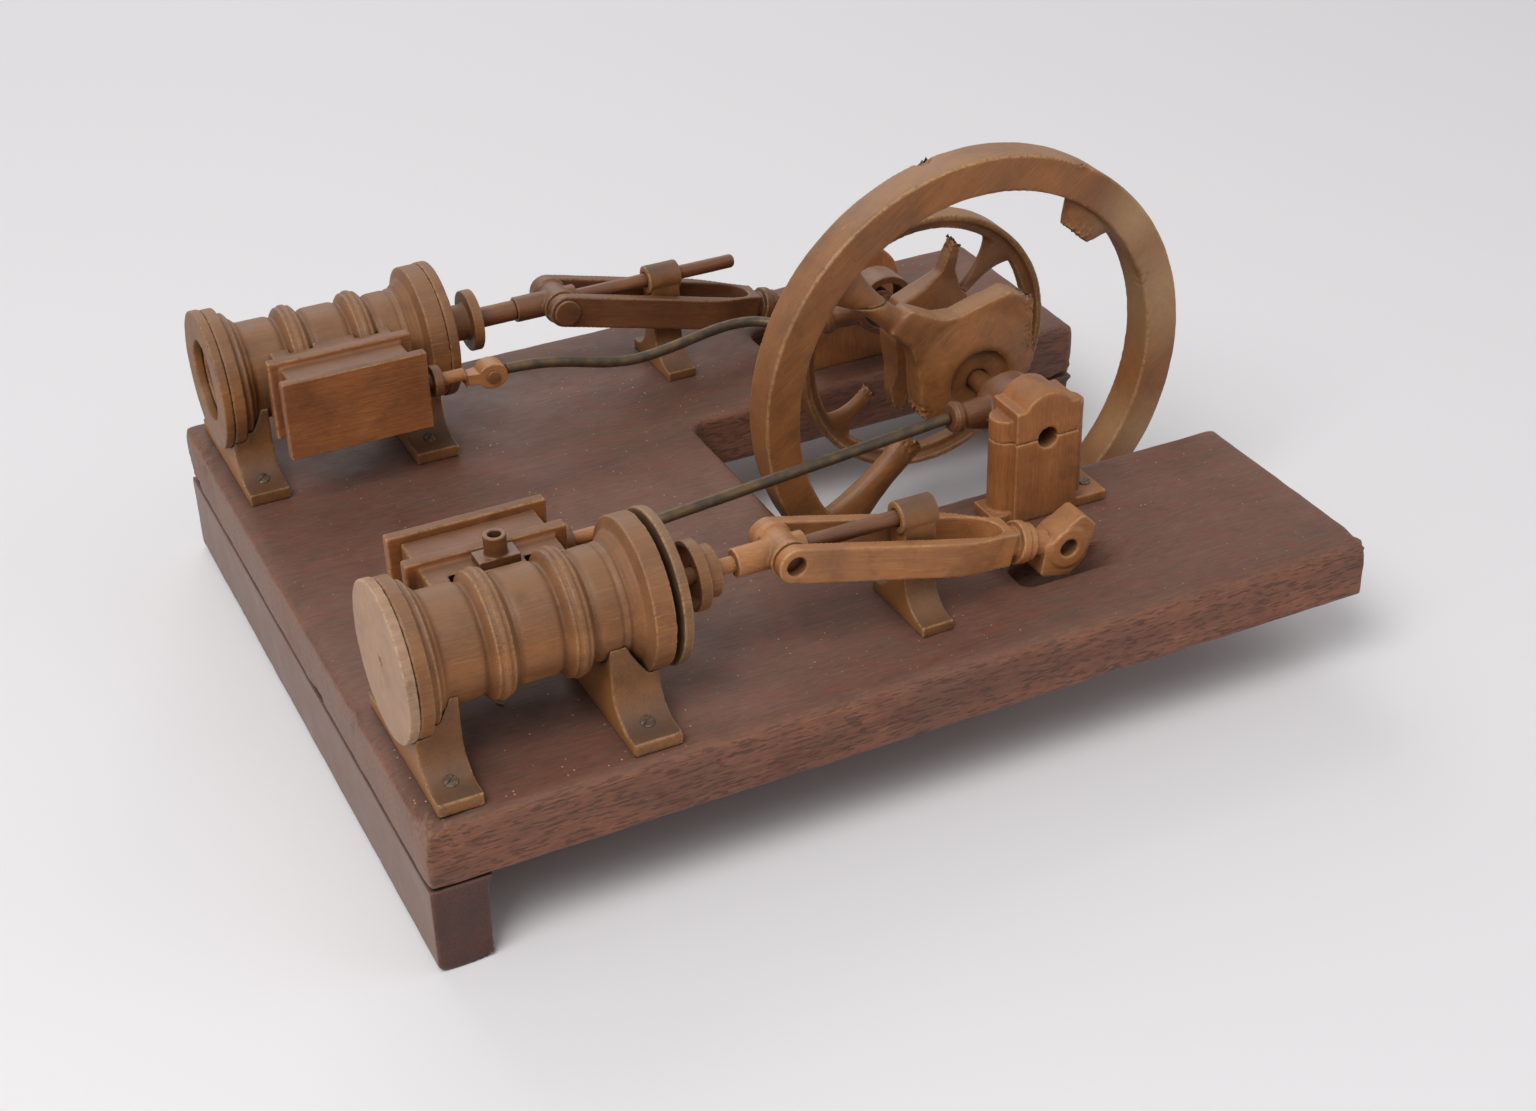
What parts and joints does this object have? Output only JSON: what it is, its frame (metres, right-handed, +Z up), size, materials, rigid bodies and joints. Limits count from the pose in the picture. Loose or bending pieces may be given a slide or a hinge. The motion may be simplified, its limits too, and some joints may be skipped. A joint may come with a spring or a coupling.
{
  "type": "steam engine demonstration model",
  "caption": "Worn wooden demonstration model of a horizontal twin-cylinder steam engine, with flywheel and shaft on a slotted baseboard.",
  "frame": {"origin": "on the ground under the middle of the baseboard", "axes": "+X along the cylinders towards the crankshaft, +Y from the near engine to the far one, +Z up"},
  "size_m": [0.356, 0.289, 0.1779],
  "materials": {
    "board_wood": "dull, dusty, dark reddish brown with open grain",
    "cylinder_wood": "worn varnish over turned brown wood",
    "wheel_wood": "matt golden brown, bleached on the right of the rim",
    "pale_wood": "raw and dry",
    "pedestal_wood": "orange brown, split and worn",
    "rod_wood": "smooth, handled",
    "tarnished_brass": "dull greenish tarnish"
  },
  "bodies": {
    "base": {"baseboard": "board_wood", "left_batten_foot": "board_wood", "far_right_foot": "board_wood", "near_cylinder": "cylinder_wood", "near_rear_cover": "pale_wood", "near_front_cover": "pale_wood", "near_rear_saddle": "cylinder_wood", "near_front_saddle": "cylinder_wood", "near_guide_bracket": "cylinder_wood", "near_steam_chest": "cylinder_wood", "near_chest_cover": "cylinder_wood", "near_inlet": "cylinder_wood", "near_valve_gland": "cylinder_wood", "near_valve_clevis": "rod_wood", "near_eccentric_rod": "tarnished_brass", "near_eccentric_strap": "pedestal_wood", "near_pedestal_base": "pedestal_wood", "near_pedestal_cap": "pedestal_wood", "far_cylinder": "cylinder_wood", "far_rear_cover": "cylinder_wood", "far_front_cover": "cylinder_wood", "far_gland": "cylinder_wood", "far_rear_saddle": "cylinder_wood", "far_front_saddle": "cylinder_wood", "far_guide_bracket": "cylinder_wood", "far_steam_chest": "cylinder_wood", "far_chest_cover": "cylinder_wood", "far_valve_gland": "cylinder_wood", "far_valve_clevis": "rod_wood", "far_eccentric_rod": "tarnished_brass", "far_eccentric_strap": "pedestal_wood", "far_pedestal_base": "pedestal_wood", "far_pedestal_cap": "pedestal_wood"},
    "crankset": {"crankshaft": "pedestal_wood", "flywheel_hub": "wheel_wood", "flywheel_rim": "wheel_wood", "second_wheel_hub": "wheel_wood", "second_wheel_rim": "wheel_wood"},
    "near_crosshead_set": {"near_piston_rod": "rod_wood", "near_gland": "pale_wood", "near_crosshead": "rod_wood", "near_guide_rod": "rod_wood"},
    "far_crosshead_set": {"far_piston_rod": "rod_wood", "far_crosshead": "rod_wood", "far_guide_rod": "rod_wood"},
    "near_rod": {"near_connecting_rod": "rod_wood"},
    "far_rod": {"far_connecting_rod": "rod_wood"}
  },
  "joints": [
    {"name": "crankshaft_spin", "type": "hinge", "parent": "base", "child": "crankset", "pos_m": [0.0845, 0, 0.0895], "axis": [0, 1, 0], "continuous": true},
    {"name": "near_crosshead_slide", "type": "slide", "parent": "base", "child": "near_crosshead_set", "axis": [1, 0, 0], "range_m": [-0.006, 0.012]},
    {"name": "far_crosshead_slide", "type": "slide", "parent": "base", "child": "far_crosshead_set", "axis": [1, 0, 0], "range_m": [-0.006, 0.012]},
    {"name": "near_rod_swing", "type": "hinge", "parent": "near_crosshead_set", "child": "near_rod", "pos_m": [-0.0371, -0.1063, 0.0948], "axis": [0, -1, 0], "range_deg": [0, 70]},
    {"name": "far_rod_swing", "type": "hinge", "parent": "far_crosshead_set", "child": "far_rod", "pos_m": [-0.0332, 0.1022, 0.0948], "axis": [0, -1, 0], "range_deg": [0, 70]}
  ]
}
